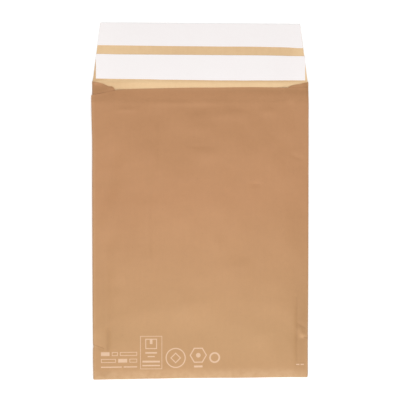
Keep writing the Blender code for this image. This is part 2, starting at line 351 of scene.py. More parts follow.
# The bag is one folded sheet. Two or three lengths in brackets are the start, the length and the most of
# a ramp, or the middle, reach and height of a hill
bag = {
    "paper": 0.3 * mm, "glueLine": 0.15 * mm, "bodyLength": 330 * mm, "mouthDrop": 6 * mm,
    "gussetDepth": 24 * mm, "gussetClearance": 0.3 * mm, "lapWidth": 12 * mm, "lapSetback": 0.5 * mm,
    "foldRadius": 1.85 * mm,  # of the round side folds, to the middle of the paper
    "legSpacing": 1.05 * mm,  # between the two legs of a gusset
    "legSetback": 3 * mm,  # the front legs end this far below the front's cut
    "frontSteps": 112, "backSteps": 16, "legSteps": 13, "foldSteps": 8, "rowPitch": 1.9 * mm,
    "slantedRows": 40 * mm,  # the rows follow the slanted cuts over this length
}
panel = {
    "crown": 4.0 * mm, "crownMiddle": -20 * mm, "crownReach": 176 * mm,
    "sag": (4 * mm, 45 * mm, 2.6 * mm), "sagAlong": (-76 * mm, 76 * mm),  # over the empty mouth
    "press": (-80 * mm, 80 * mm),  # the gussets are pressed flatter over this length below the mouth
    "lipPress": (-18 * mm, 18 * mm),  # and the mouth itself lies closed over this length
    "lipAcross": (1 * mm, 12 * mm), "lipGap": 0.55 * mm,  # between the middles of back and front there
    # the cut edge itself bends down over the gussets
    "lipDip": (94 * mm, 6 * mm, 0.44 * mm), "lipDipAlong": (-8 * mm, 8 * mm),
    "roll": 0.9 * mm, "rollLength": 10 * mm, "rollAcross": (0, 12 * mm),  # above the bottom fold
    "swellGain": 5.2, "creaseGain": 3.0,
    "waves": ((1.2, 46, 3.1), (0.6, 19, 7.7), (0.13, 7.5, 5.2)),  # height, reach, seed
    # swells and waves fade out at the edges
    "quietBottom": (0, 9 * mm), "quietSide": (-1 * mm, 7 * mm),
    "quietLip": 0.9, "quietGusset": (84 * mm, 10 * mm, 0.65),
    "linerDrop": 0.9 * mm, "linerPress": 0.25 * mm,  # the liner keeps this much clear
    "ripple": 0.25 * mm, "rippleReach": 60 * mm, "rippleAlong": 20 * mm, "rippleAcross": 15 * mm,
}
bottom = {
    "tilt": math.radians(11), "steps": 12,
    "lipLength": 36 * mm, "lipTaper": 2 * mm, "lipSteps": 8, "stepLength": 13.5 * mm, "stepStart": 14 * mm,
    "sway": 0.25 * mm, "swayReach": 50 * mm, "tuck": 0.1,
}
flap = {
    "taper": 8.6 * mm, "inset": 0.15 * mm, "trim": 0.5 * mm, "steps": 34,
    "lift": 0.5 * mm, "wave": 0.16 * mm, "waveReach": 55 * mm,
    "roundLength": 7 * mm,  # the round side folds open out over this length
    "ridge": 4.2 * mm, "ridgeReach": 20 * mm,  # the fold stands off the table, less at its sides
    "ridgeSides": (75 * mm, 35 * mm, 0.5), "ridgeSway": 0.15, "swayReach": 50 * mm,
    "drop": (0, 2.6 * mm, 0.45 * mm),
}
halfWidth = (bagHigh.x - bagLow.x) / 2
foldX = halfWidth - bag["paper"] / 2 - bag["foldRadius"]
creaseTipX = halfWidth - bag["gussetDepth"]
creaseX = creaseTipX + bag["legSpacing"] / 2
backZ = bag["paper"] / 2
backLegZ = backZ + 2 * bag["foldRadius"]
frontLegZ = backLegZ + bag["legSpacing"]
frontZ = frontLegZ + 2 * bag["foldRadius"]
lipRise = bag["paper"] + bag["glueLine"]
bottomRadius = (frontZ + lipRise - backZ) / 2
layersEnd = bagLow.y + bag["paper"] / 2 + bottomRadius
lipEnd = layersEnd + bottom["lipLength"]
flapFold = bagLow.y + bag["bodyLength"]
flapLength = bagHigh.y - flapFold
mouth = flapFold - bag["mouthDrop"]

# heights of back, back leg, front leg and front: along the body, pressed below the mouth, and at its lip
levels = [backZ, backLegZ, frontLegZ, frontZ]
mouthLevels = [backZ, 3.6 * mm, 4.4 * mm, 5.6 * mm]
lipLevels = [backZ, 1.0 * mm, 1.38 * mm, 1.78 * mm]

# Sideways places of the folds beyond the straight line, outwards: y and shift in millimetres
leftWander = ((-198, -0.35), (-188, -0.2), (-179, -0.05), (-169, 0.02), (-158, -0.08), (-148, 0.02),
              (-133, 0.15), (-110, 0.32), (-90, 0.35), (-45, 0.48), (0, 0.56), (22, 0.58), (46, 0.43),
              (57, 0.4), (70, 0.5), (90, 1.05), (112, 1.48), (119, 1.5), (128, 1.5))
rightWander = ((-198, 0.3), (-186, 0.2), (-165, 0.1), (-133, 0.3), (-90, 0.45), (-45, 0.45), (0, 0.42),
               (46, 0.35), (90, 0.4), (118, 0.55), (128, 0.65))
wander = {
    "backMost": (0.5 * mm, 0.6 * mm),  # the back folds stay within this much, left and right
    "across": (98 * mm, 20 * mm), "notch": (-161.2 * mm, 1.6 * mm, 0.5 * mm),
    # the left gusset is a little deeper at the mouth
    "deeper": (-30 * mm, 30 * mm, 1.2 * mm), "deeperAcross": (-112 * mm, 14 * mm), "deeperFrom": -80 * mm,
}
# The front panel's cut: it rises to the right with one bump, falls to the left, and its corner droops
mouthCut = {
    "rise": 0.3 * mm / 0.09, "bump": (55 * mm, 32 * mm, 0.6 * mm),
    "fall": 2.4 * mm, "fallReach": 95 * mm, "fallPower": 1.3, "dip": (-91 * mm, 6 * mm, 0.35 * mm),
    "droop": (89 * mm, 30 * mm, 5 * mm),
}
# Upper edges of the gussets' back legs, which stand in the mouth's corners: distance from the middle and y
leftEar = ((96, 123.1), (98.2, 126.3), (99.6, 127.1), (103, 127.2), (104.6, 127.9), (107.2, 129.5),
           (110, 130.6), (113.5, 131.3), (118, 132.1))
rightEar = ((96, 127), (98.5, 127.6), (100.7, 128.7), (103, 129.2), (105.2, 129.8), (107.4, 130.1),
            (109.6, 130.45), (111.9, 130.85), (114.1, 131.7), (116.3, 132.05), (118.5, 132.1))

# How far the bottom fold reaches down beyond the straight line: x and reach in millimetres
bottomReach = ((-120, 0.87), (-107, 0.76), (-96, 0.62), (-84, 0.74), (-73, 0.6), (-62, 0.33), (-40, 0.22),
               (-18, 0.1), (16, 0.02), (27, 0.13), (38, 0.33), (60, 0.2), (83, 0.04), (105, 0.08), (120, 0.2))

# Soft swells and dents that the front panel shows, in millimetres: middle, reach, height
swells = (
    (6, 51, 14, 9, 0.24), (-14, -33, 15, 22, 0.28), (-18, -120, 26, 17, 0.42), (58, -100, 22, 20, 0.3),
    (61, 18.5, 5, 2.2, -0.14), (-103, 10, 9, 12, -0.25), (-97, 46, 8, 16, -0.22), (-104, -48, 7, 12, -0.25),
    (98, 60, 9, 14, -0.2), (104, 92, 8, 20, -0.18), (88, -30, 16, 22, 0.22), (-30, 72, 14, 22, -0.2),
    (-92, -84, 10, 8, 0.25), (30, 96, 26, 7, 0.2), (-106, -191, 5, 4, -0.35), (72, -148, 20, 12, 0.24),
    (-70, -128, 18, 14, 0.22), (40, -60, 22, 12, -0.18), (-2, 102, 11, 6, -0.12), (75, 100, 8, 5, 0.18),
    (-5, 80, 10, 7, 0.16), (18, -48, 4, 9, 0.12),
)
# Creases in millimetres: from, to, height, half width
creases = (
    ((-98, 101), (-72, 101.4), 0.24, 2.2), ((-56, 8), (-56, -66), -0.14, 1.8),
    ((-48, 98), (-48, 40), -0.13, 1.8), ((-103.5, -60), (-103.4, -140), -0.16, 2.6),
    ((-103.4, -138), (-103.2, -165), -0.42, 2), ((-121, -158.6), (-108, -163.8), -0.32, 1.8),
    ((91, 114.5), (102, 110), 0.22, 1.8), ((108, -112), (107.6, -183), -0.36, 2),
    ((108, -137.2), (117.5, -142.2), -0.36, 1.9), ((109, -143), (115, -151), 0.46, 2.6),
    ((114, -152.5), (121, -154), -0.5, 1.8), ((-12, 61.4), (6, 60.6), -0.11, 2),
    ((-62, 108), (20, 109.5), 0.1, 2.6), ((28, 104), (58, 101), -0.05, 2.2),
    ((100, 52), (112, 47), -0.16, 2),
)
# Painted light and shade: lighter and darker places of the paper, in millimetres: middle, reach, amount
paintedShadingSpots = (
    (0, 123.5, 200, 4.2, -0.36), (-114, 120.5, 12, 5, 0.55), (0, 113, 140, 6, 0.26),
    (100.5, 110.5, 4, 3, 0.35), (0, 50, 100, 40, -0.05), (112, -146, 8, 44, -0.5),
    (112, -70, 12, 60, -0.12), (100, -20, 24, 60, -0.18), (84, 40, 20, 14, 0.12),
    (113.6, -151.2, 3.2, 2.4, 1.3), (110.5, -145, 3, 4, 0.5), (90, -160, 14, 12, -0.16),
    (-107, -115, 10, 40, -0.18), (-106, -194, 10, 10, -0.5), (-115, -150, 7, 8, 0.25),
    (-93, -76, 10, 8, 0.2), (-84, 4, 34, 34, -0.08), (-103, 19, 15, 7, -0.2),
    (-56, 26, 5, 7, -0.12), (-36, 50, 44, 26, -0.06), (-30, -25, 40, 24, 0.14),
    (64, -34, 20, 26, -0.12), (-20, -124, 42, 16, 0.22), (-24, -104, 20, 12, 0.12),
    (54, -106, 18, 10, -0.14), (74, -100, 18, 12, 0.08), (120, 124, 3, 9, -0.6),
    (120, -182, 3, 9, 0.4), (70, 124.5, 48, 3, -0.32), (75, 115.5, 45, 4, 0.18),
)
# Painted light and shade of the mouth's corners, throat and flap; pale wear on the folds, and wear with a
# painted highlight at the bottom
paintedShadingAndWear = {
    "ear": -0.3, "earLeft": (1.6 * mm, 2.2 * mm, -0.42), "earRight": (1.6 * mm, 2.2 * mm, -0.14),
    "rightTip": (112 * mm, 6 * mm, -0.5), "leftTip": (104 * mm, 8 * mm, 0.65),
    "leftTipAlong": (-6 * mm, 5 * mm), "atCut": (-3.4 * mm, 3.4 * mm, 0.85),
    "throat": 0.35, "throatLeft": (60 * mm, 35 * mm, -0.42), "throatAlong": (-5 * mm, 5 * mm),
    "throatFolds": -0.75,
    "atFold": 0.35, "atFoldRight": (-50 * mm, 70 * mm, -0.95), "atFoldSteps": 3,
    "flapLeft": (-105 * mm, 45 * mm, 0.4), "flapLeftSteps": 8,
    "marginRight": 0.6, "marginLeft": -1.1, "marginWidth": 1 * mm,
    "foldWear": 0.12, "leftFoldWear": 0.2, "bottomWearAndHighlight": 0.6,
    "hemWearAndHighlight": 0.40, "hemAlong": (-9 * mm, 9 * mm), "hemCorner": (98 * mm, 12 * mm, -0.15),
}


def smooth(t):
    t = np.clip(t, 0.0, 1.0)
    return t * t * (3 - 2 * t)


def ramp(v, start, length, most=1.0):
    return most * smooth((v - start) / length)


def hill(v, middle, reach, height):
    return height * np.exp(-((v - middle) / reach) ** 2)


def table(rows, at):
    # value of a table in millimetres at a place in metres
    return np.interp(at / mm, *zip(*rows)) * mm


def drifting(x, y, reach, seed):
    # smooth noise with features of about this reach
    x, y = np.broadcast_arrays(x, y)
    values = [noise.noise(Vector((a / reach, b / reach, seed))) for a, b in zip(x.flat, y.flat)]
    return np.array(values).reshape(x.shape)


def creaseRelief(x, y):
    height = np.zeros(np.broadcast(x, y).shape)
    for (x0, y0), (x1, y1), rise, width in creases:
        ax, ay, dx, dy = x0 * mm, y0 * mm, (x1 - x0) * mm, (y1 - y0) * mm
        t = np.clip(((x - ax) * dx + (y - ay) * dy) / (dx * dx + dy * dy), 0, 1)
        distance = np.hypot(x - ax - t * dx, y - ay - t * dy)
        taper = 0.35 + 0.65 * smooth(np.minimum(t, 1 - t) * 4)
        height += rise * mm * taper * np.exp(-(distance / (width * mm)) ** 2)
    return height


def spotSum(spots, x, y):
    # sum of round spots: middle, reach, amount
    amount = np.zeros(np.broadcast(x, y).shape)
    for x0, y0, reachX, reachY, rise in spots:
        amount += rise * np.exp(-((x / mm - x0) / reachX) ** 2 - ((y / mm - y0) / reachY) ** 2)
    return amount


def lipShare(y):
    return ramp(y - mouth, *panel["lipPress"])


def pressShare(y):
    return ramp(y - mouth, *panel["press"])


def frontRise(x, y, forLiner=False):
    # how far the front panel, or the padding under it, stands over its flat level at the side folds
    across = np.clip(1 - (x / foldX) ** 2, 0, 1)
    along = np.clip(1 - ((y - panel["crownMiddle"]) / panel["crownReach"]) ** 2, 0, 1)
    toTip, toFold = creaseTipX - np.abs(x), foldX - np.abs(x)
    sag = ramp(toTip, *panel["sag"]) * ramp(y - mouth, *panel["sagAlong"])
    lip = lipShare(y)
    rise = (1 - lip) * (panel["crown"] * across * along - sag)
    # in the mouth the front comes down between the gussets, onto the back
    between = ramp(toTip, *panel["lipAcross"])
    rise = rise - lip * between * (lipLevels[3] - backZ - panel["lipGap"])
    # just above the bottom fold the panel rolls over
    roll = np.clip((layersEnd + panel["rollLength"] - y) / panel["rollLength"], 0, 1) ** 2
    rise = rise - panel["roll"] * roll * ramp(toFold, *panel["rollAcross"])
    loose = ramp(y - layersEnd, *panel["quietBottom"]) * ramp(toFold, *panel["quietSide"])
    overGusset = ramp(np.abs(x), *panel["quietGusset"])
    loose = loose * (1 - panel["quietLip"] * lip) * (1 - pressShare(y) * overGusset)
    relief = panel["swellGain"] * mm * spotSum(swells, x, y)
    for height, reach, seed in panel["waves"][:2 if forLiner else 3]:
        relief = relief + height * mm * drifting(x, y, reach * mm, seed)
    relief = relief + (-panel["linerDrop"] if forLiner else panel["creaseGain"] * creaseRelief(x, y))
    return rise + loose * relief


def lipLift(y):
    # the layers lie on the bottom lip, and step down past its end
    return lipRise * np.clip((lipEnd + bottom["stepStart"] - y) / bottom["stepLength"], 0, 1)


def backRipple(x, y):
    # the back panel lies on the table, with a slight lift here and there
    inside = ramp(y - lipEnd, bottom["stepStart"], panel["rippleAlong"])
    inside = inside * ramp(foldX - np.abs(x), 0, panel["rippleAcross"])
    return inside * panel["ripple"] * np.clip(drifting(x, y, panel["rippleReach"], 9.4), 0, 1)


def pressed(z, y):
    # the layers lie closer together towards the mouth, and closest at its lip
    lip = lipShare(y)
    body = z + pressShare(y) * (np.interp(z, levels, mouthLevels) - z)
    return body + lip * (np.interp(z, levels, lipLevels) - body)


def foldRidge(x, y):
    # the back panel climbs to the flap's fold; past it the flap drops a little and runs out
    height = flap["ridge"] * (1 - ramp(np.abs(x), *flap["ridgeSides"]))
    height = height * (1 + flap["ridgeSway"] * drifting(x, 0.0, flap["swayReach"], 2.2))
    climb = np.clip((y - flapFold + flap["ridgeReach"]) / flap["ridgeReach"], 0, 1) ** 1.5
    past = np.clip((y - flapFold) / flapLength, 0, 1)
    drop = ramp(y - flapFold, *flap["drop"]) / flap["ridge"]
    return height * np.where(y > flapFold, (1 - drop) * (1 - past), climb)


def mouthEdge(x):
    if x > 0:
        slope = mouthCut["rise"] * x + hill(x, *mouthCut["bump"])
    else:
        slope = -mouthCut["fall"] * (-x / mouthCut["fallReach"]) ** mouthCut["fallPower"]
    return mouth + slope - ramp(-x, *mouthCut["droop"]) - hill(x, *mouthCut["dip"])


def legEdge(x):
    # the slanted cut of the gusset's back leg, from the crease out to the flap's fold
    return min(table(leftEar if x < 0 else rightEar, abs(x)), flapFold)


def onBack(part):
    return part == "back leg" or part.endswith("back fold")


def topEdge(part, x, z):
    if part == "back leg":
        return legEdge(x)
    if part == "back" or onBack(part):
        return flapFold
    inner = np.clip((frontZ - z) / (frontZ - frontLegZ), 0, 1) if "front" in part else 1.0
    return mouthEdge(x) - bag["legSetback"] * inner


def foldPlace(part, x, y):
    # a fold that is pressed flatter keeps its reach and gets a smaller radius
    if not part.endswith(" fold"):
        return x + 0 * y
    low, high = (backZ, backLegZ) if "back" in part else (frontLegZ, frontZ)
    share = (pressed(high, y) - pressed(low, y)) / (high - low)
    tip = foldX + bag["foldRadius"]
    return math.copysign(1.0, x) * (tip - share * (tip - abs(x)))


def sideShift(part, x, y):
    # small sideways wander of the side folds; the left front fold flares out near the mouth
    left, right = table(leftWander, y), table(rightWander, y)
    if onBack(part):
        left, right = np.minimum(left, wander["backMost"][0]), np.minimum(right, wander["backMost"][1])
    shift = hill(y, *wander["notch"]) - left if x < 0 else right
    shift = shift * ramp(abs(x), *wander["across"])
    if x < wander["deeperFrom"] and part not in ("front", "back"):
        shift = shift + ramp(y - mouth, *wander["deeper"]) * ramp(x, *wander["deeperAcross"])
    return shift


def lipBend(part, x, y, z):
    # how far the front's cut edge bends down over the gussets
    if part != "front" and not part.endswith("front fold"):
        return 0.0
    over = ramp(abs(x), *panel["lipDip"]) * ramp(z, frontLegZ, frontZ - frontLegZ)
    return over * ramp(y - mouthEdge(x), *panel["lipDipAlong"])


def straight(part, start, end, z, steps):
    return [(part, start + (end - start) * k / steps, z) for k in range(steps)]


def fold(part, x, z, radius, start, turn):
    steps = bag["foldSteps"]
    angles = [math.radians(start + turn * k / steps) for k in range(steps)]
    return [(part, x + radius * math.cos(a), z + radius * math.sin(a)) for a in angles]


def girth(inset, backSteps, frontSteps, legSteps):
    # once round, from the left gusset's crease to the left front fold
    side = bag["foldRadius"] - inset
    crease = bag["legSpacing"] / 2 + inset
    lowZ, highZ = backZ + bag["foldRadius"], frontLegZ + bag["foldRadius"]
    return (
        straight("back leg", -creaseX, -foldX, backLegZ - inset, legSteps)
        + fold("left back fold", -foldX, lowZ, side, 90, 180)
        + straight("back", -foldX, foldX, backZ + inset, backSteps)
        + fold("right back fold", foldX, lowZ, side, -90, 180)
        + straight("back leg", foldX, creaseX, backLegZ - inset, legSteps)
        + fold("crease", creaseX, backLegZ + bag["legSpacing"] / 2, crease, -90, -180)
        + straight("front leg", creaseX, foldX, frontLegZ + inset, legSteps)
        + fold("right front fold", foldX, highZ, side, -90, 180)
        + straight("front", foldX, -foldX, frontZ - inset, frontSteps)
        + fold("left front fold", -foldX, highZ, side, 90, 180)
    )


def bagColumns():
    spacing = bag["paper"] + bag["gussetClearance"]
    lapX, edgeX = -creaseTipX - spacing / 2, -creaseTipX - bag["lapSetback"]
    return (
        straight("lap", lapX - bag["lapWidth"], lapX, backLegZ + spacing, 4)
        + fold("crease", lapX, backLegZ + spacing / 2, spacing / 2, 90, -180)
        + girth(0.0, bag["backSteps"], bag["frontSteps"], bag["legSteps"])
        + straight("front leg", -foldX, edgeX, frontLegZ, bag["legSteps"])
        + [("front leg", edgeX, frontLegZ)]
    )


def sheetObject(name, grid, thickness, materials, **spots):
    # grid maps (column, row) to a point of the sheet's middle; the wall is grown around it
    order = {key: k for k, key in enumerate(grid)}
    faces = []
    for i, j in grid:
        ring = [(i, j), (i, j + 1), (i + 1, j + 1), (i + 1, j)]
        if all(key in order for key in ring):
            faces.append([order[key] for key in ring])
    mesh = bpy.data.meshes.new(name + "Sheet")
    mesh.from_pydata([tuple(p) for p in grid.values()], [], faces)
    for label, values in spots.items():
        data = mesh.attributes.new(label, "FLOAT", "POINT").data
        data.foreach_set("value", [values[key] for key in grid])
    mesh.shade_smooth()
    for material in materials:
        mesh.materials.append(material)
    sheet = added(name + "Sheet", mesh)
    wall = sheet.modifiers.new("Paper", "SOLIDIFY")
    wall.thickness, wall.offset, wall.use_even_offset = thickness, 0.0, False
    wall.material_offset = min(1, len(materials) - 1)
    wall.material_offset_rim = len(materials) - 1
    return baked(sheet, name)


def baked(source, name):
    # the evaluated object as a plain mesh at the origin, and the source removed
    graph = bpy.context.evaluated_depsgraph_get()
    mesh = bpy.data.meshes.new_from_object(source.evaluated_get(graph))
    mesh.name = name
    mesh.set_sharp_from_angle(angle=math.radians(50))
    piece = added(name, mesh)
    bpy.data.objects.remove(source)
    return piece


def onBody(piece, node):
    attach(piece, "root")
    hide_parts(node)
    print(piece.name, len(piece.data.polygons), "faces")
    return piece


def flapSurface(x, y):
    # middle of the flap's paper
    along = (y - flapFold) / flapLength
    wave = flap["wave"] * smooth(along * 4) * drifting(x, y, flap["waveReach"], 6.1)
    return backZ + flap["lift"] * along ** 2 + foldRidge(x, y) + np.abs(wave)


def flapHalfWidth(y):
    return halfWidth - flap["inset"] - flap["taper"] * (y - flapFold) / flapLength


def layerHeight(part, x, y, z, forLiner=False):
    # height of any point of the folded layers, of the bag and of its liner
    inside = {"back": 1, "back leg": -1, "front leg": 1, "front": -1}.get(part, 0)
    height = lipLift(y) + foldRidge(x, y)
    if forLiner and inside:
        # the liner keeps against its own layer of paper, closer where the layers are pressed
        z = min(levels, key=lambda level: abs(level - z))
        height = height + inside * (linerInset - panel["linerPress"] * pressShare(y))
    height = height + pressed(z, y)
    if part == "front":
        height = height + frontRise(x, y, forLiner)
    if part == "back":
        height = height + backRipple(x, y)
    return height


def earPaintedShading(x, y):
    # painted shade below the flap's fold and on the right tip; painted light on the left tip and along the
    # front's cut edge, where it lightens the shadow of that edge
    if x > 0:
        below = ramp(flapFold - y, *paintedShadingAndWear["earRight"])
        return paintedShadingAndWear["ear"] + below + ramp(x, *paintedShadingAndWear["rightTip"])
    below = ramp(flapFold - y, *paintedShadingAndWear["earLeft"])
    tip = ramp(-x, *paintedShadingAndWear["leftTip"]) * ramp(y - flapFold, *paintedShadingAndWear["leftTipAlong"])
    return paintedShadingAndWear["ear"] + below + tip + ramp(mouthEdge(x) - y, *paintedShadingAndWear["atCut"])


def bodyPaintedShading(part, x, y):
    if part == "back leg":
        return earPaintedShading(x, y)
    if part != "back" and not onBack(part):
        return spotSum(paintedShadingSpots, x, y)
    # painted light on the throat, with painted shade on its left side and on the back folds
    throat = paintedShadingAndWear["throat"] + ramp(-x, *paintedShadingAndWear["throatLeft"])
    throat = throat * ramp(y - mouth, *paintedShadingAndWear["throatAlong"])
    return throat if part == "back" else throat + paintedShadingAndWear["throatFolds"]


def flapPaintedShading(x, spotX, y, step):
    # painted light and shade along the flap's fold and on its left, painted shade on the left margin and
    # painted light on the right one
    atFold = paintedShadingAndWear["atFold"] + ramp(spotX, *paintedShadingAndWear["atFoldRight"])
    shade = atFold * max(0.0, 1 - step / paintedShadingAndWear["atFoldSteps"])
    shade += hill(spotX, *paintedShadingAndWear["flapLeft"]) * min(1.0, step / paintedShadingAndWear["flapLeftSteps"])
    if abs(x) > foldX - paintedShadingAndWear["marginWidth"]:  # the bare side margins
        shade += paintedShadingAndWear["marginRight"] if x > 0 else paintedShadingAndWear["marginLeft"] if y < returnHigh.y else 0.0
    return shade


def foldWear(part):
    # the folds are rubbed a little paler, most on the left
    if not part.endswith("fold"):
        return 0.0
    return paintedShadingAndWear["leftFoldWear"] if part == "left front fold" else paintedShadingAndWear["foldWear"]


def hemWearAndHighlight(x, y):
    # so is the panel just above its bottom fold, part wear and part painted highlight, less at the corners
    strength = paintedShadingAndWear["hemWearAndHighlight"] + ramp(abs(x), *paintedShadingAndWear["hemCorner"])
    return strength * ramp(layersEnd - y, *paintedShadingAndWear["hemAlong"])


def makeBag():
    columns = bagColumns()
    parts = [part for part, x, z in columns]
    # tone holds painted light and shade; the wear attribute pale wear with a painted highlight
    grid, wear, tone = {}, {}, {}

    def put(key, spot, wornAndLit, shade):
        grid[key], wear[key], tone[key] = spot, wornAndLit, shade

    def between(first, last):
        # the columns from the outermost point of one fold to that of another
        half = bag["foldSteps"] // 2
        return range(parts.index(first) + half, parts.index(last) + half + 1)

    # body, from the bottom fold up to each layer's own cut
    bodyRows = round((mouth - layersEnd) / bag["rowPitch"])
    levelTop = mouth - bag["slantedRows"]
    levelRow = round(bodyRows * (levelTop - layersEnd) / (mouth - layersEnd))
    rows = np.arange(bodyRows + 1)
    below = np.clip(rows / levelRow, 0, 1)
    above = np.clip((rows - levelRow) / (bodyRows - levelRow), 0, 1)
    for i, (part, x, z) in enumerate(columns):
        y = layersEnd + (levelTop - layersEnd) * below + (topEdge(part, x, z) - levelTop) * above
        spotX = foldPlace(part, x, y) + sideShift(part, x, y)
        spotZ = layerHeight(part, x, y, z) - lipBend(part, x, y, z)
        wornAndLit, shade = foldWear(part) + hemWearAndHighlight(x, y), bodyPaintedShading(part, x, y)
        for j in rows:
            put((i, int(j)), (spotX[j], y[j], spotZ[j]), wornAndLit[j], shade[j])

    # bottom: an arc that starts at the panel's own slope and ends flat on the back, then the lip
    for i in between("right front fold", "left front fold"):
        part, x, z = columns[i]
        x, topZ = grid[i, 0][0], grid[i, 0][2]
        panelWearAndHighlight = wear[i, 0] - foldWear(part)
        tilt = bottom["tilt"] * min(1.0, (frontZ + lipRise - topZ) / panel["roll"])
        rise = (topZ - backZ) / (1 + math.cos(tilt))
        sway = bottom["sway"] * drifting(x, 0.0, bottom["swayReach"], 1.9)
        reach = bottomRadius - bottom["tuck"] * (frontZ - z) - sway + table(bottomReach, x)
        reach = reach / (1 - math.sin(tilt))
        for step in range(1, bottom["steps"] + bottom["lipSteps"] + 1):
            angle = tilt + (math.pi - tilt) * min(1.0, step / bottom["steps"])
            bent = math.sin(angle)
            along = max(0.0, (step - bottom["steps"]) / bottom["lipSteps"])
            spotX = x * (1 - along * bottom["lipTaper"] / halfWidth)
            y = layersEnd - reach * (bent - math.sin(tilt)) + bottom["lipLength"] * along
            spotZ = backZ + rise * (1 + math.cos(angle))
            # pale wear and a painted highlight, most at the bottom roll's outermost line
            wornAndLit = paintedShadingAndWear["bottomWearAndHighlight"] * bent + (panelWearAndHighlight * (1 - bent) if angle < math.pi / 2 else 0.0)
            put((i, -step), (spotX, y, spotZ), wornAndLit, tone[i, 0])

    # flap
    for i in between("left back fold", "right back fold"):
        part, x, z = columns[i]
        for step in range(1, flap["steps"] + 1):
            y = flapFold + (flapLength - flap["trim"]) * step / flap["steps"]
            spotX = x * flapHalfWidth(y) / (halfWidth - bag["paper"] / 2)
            stillRound = 1 - min(1.0, (y - flapFold) / flap["roundLength"])
            spotZ = flapSurface(spotX, y) + (pressed(z, y) - backZ) * stillRound
            put((i, bodyRows + step), (spotX, y, spotZ), 0.0, flapPaintedShading(x, spotX, y, step))

    papers = [brownOutside(), innerPaper("brownPaperInside", tan), cutEdge()]
    piece = sheetObject("paperBag", grid, bag["paper"], papers, wear=wear, tone=tone)
    return onBody(piece, "outer_bag")


# The cushion liner is a thin web with raised cells, folded with the bag
cushion = {
    "paper": 0.4 * mm, "gap": 0.3 * mm, "buttGap": 0.8 * mm, "rowPitch": 6 * mm,
    "frontSteps": 40, "backSteps": 30, "legSteps": 3,
    "cellPitch": 12 * mm, "cellHeight": 2.0 * mm, "cellShare": 0.42,  # of the room between two layers
    "rowShare": 0.866, "sideRows": 10, "sunk": 0.3,
    "foldClear": 4 * mm, "legClear": 6 * mm, "creaseClear": (5 * mm, 4 * mm),  # of cells
    "cells": {"Radius": 4.6 * mm, "Top Share": 0.62, "Sides": 14},  # inputs of the node tree
}
linerInset = bag["paper"] / 2 + cushion["gap"] + cushion["paper"] / 2


def makeLiner():
    crease = bag["legSpacing"] / 2 + linerInset
    edgeX = -creaseX - cushion["buttGap"]
    legZ = frontLegZ + linerInset
    columns = (
        fold("crease", -creaseX, backLegZ + bag["legSpacing"] / 2, crease, 90, -180)
        + girth(linerInset, cushion["backSteps"], cushion["frontSteps"], cushion["legSteps"])
        + straight("front leg", -foldX, edgeX, legZ, cushion["legSteps"])
        + [("front leg", edgeX, legZ)]
    )
    count = round((linerHigh.y - linerLow.y) / cushion["rowPitch"])
    grid = {}
    for i, (part, x, z) in enumerate(columns):
        for j in range(count + 1):
            y = linerLow.y + (linerHigh.y - linerLow.y) * j / count
            grid[i, j] = (x, y, layerHeight(part, x, y, z, True))
    return sheetObject("cushionWeb", grid, cushion["paper"], [innerPaper("cushionPaper", padding)])


def hasCell(part, x):
    # cells keep clear of the side folds and of the gussets' creases
    away, (inner, outer) = abs(x), cushion["creaseClear"]
    if away > foldX - cushion["foldClear"]:
        return False
    if "leg" in part:
        return away > creaseX + cushion["legClear"]
    return not creaseX - inner < away < creaseX + outer


def cellPoints():
    # where the cells stand, which way they face and how high they are
    places = []
    layers = {"back": (backZ + linerInset, 1), "back leg": (backLegZ - linerInset, -1),
              "front leg": (frontLegZ + linerInset, 1), "front": (frontZ - linerInset, -1)}
    facingLayer = {"back": "front", "front": "back", "back leg": "back", "front leg": "front"}
    pitch = cushion["cellPitch"]
    rowPitch = pitch * cushion["rowShare"]
    rowCount = int((linerHigh.y - linerLow.y - pitch) / rowPitch)
    for part, (z, facing) in layers.items():
        for j in range(rowCount + 1):
            y = linerLow.y + pitch / 2 + j * rowPitch
            for k in range(-cushion["sideRows"], cushion["sideRows"] + 1):
                x = (k + 0.5 * (j % 2)) * pitch
                if not hasCell(part, x):
                    continue
                onto = facingLayer[part]
                if abs(x) > creaseX and "leg" not in part:
                    onto += " leg"
                spotZ = layerHeight(part, x, y, z, True)
                facedZ = layerHeight(onto, x, y, layers[onto][0], True)
                room = abs(facedZ - spotZ) - cushion["paper"]
                height = min(cushion["cellHeight"], cushion["cellShare"] * room)
                base = spotZ + facing * cushion["paper"] * cushion["sunk"]
                places.append(((x, y, base), facing, height))
    return places


def cellTree(material):
    tree = bpy.data.node_groups.new("raisedCells", "GeometryNodeTree")
    face = tree.interface
    face.new_socket("Geometry", in_out="INPUT", socket_type="NodeSocketGeometry")
    for label in cushion["cells"]:
        kind = "NodeSocketInt" if label == "Sides" else "NodeSocketFloat"
        face.new_socket(label, in_out="INPUT", socket_type=kind)
    face.new_socket("Geometry", in_out="OUTPUT", socket_type="NodeSocketGeometry")

    def add(kind, settings=None, **inputs):
        sockets = {name.replace("_", " "): given for name, given in inputs.items()}
        return addNode(tree, kind, settings, sockets).outputs

    given = add("NodeGroupInput")
    top = addNode(tree, "ShaderNodeMath", {"operation": "MULTIPLY"},
                  {0: given["Radius"], 1: given["Top Share"]}).outputs
    cone = add("GeometryNodeMeshCone", Vertices=given["Sides"], Radius_Top=top[0],
               Radius_Bottom=given["Radius"], Depth=1.0)
    height = add("GeometryNodeInputNamedAttribute", {"data_type": "FLOAT"}, Name="rise")
    facing = add("GeometryNodeInputNamedAttribute", {"data_type": "FLOAT_VECTOR"}, Name="facing")
    turn = add("FunctionNodeAlignRotationToVector", {"axis": "Z"}, Vector=facing[0])
    size = add("ShaderNodeCombineXYZ", X=1.0, Y=1.0, Z=height[0])
    points = add("GeometryNodeMeshToPoints", Mesh=given["Geometry"])
    placed = add("GeometryNodeInstanceOnPoints", Points=points[0], Instance=cone[0], Rotation=turn[0],
                 Scale=size[0])
    real = add("GeometryNodeRealizeInstances", Geometry=placed[0])
    painted = add("GeometryNodeSetMaterial", Geometry=real[0], Material=material)
    add("NodeGroupOutput", Geometry=painted[0])
    return tree


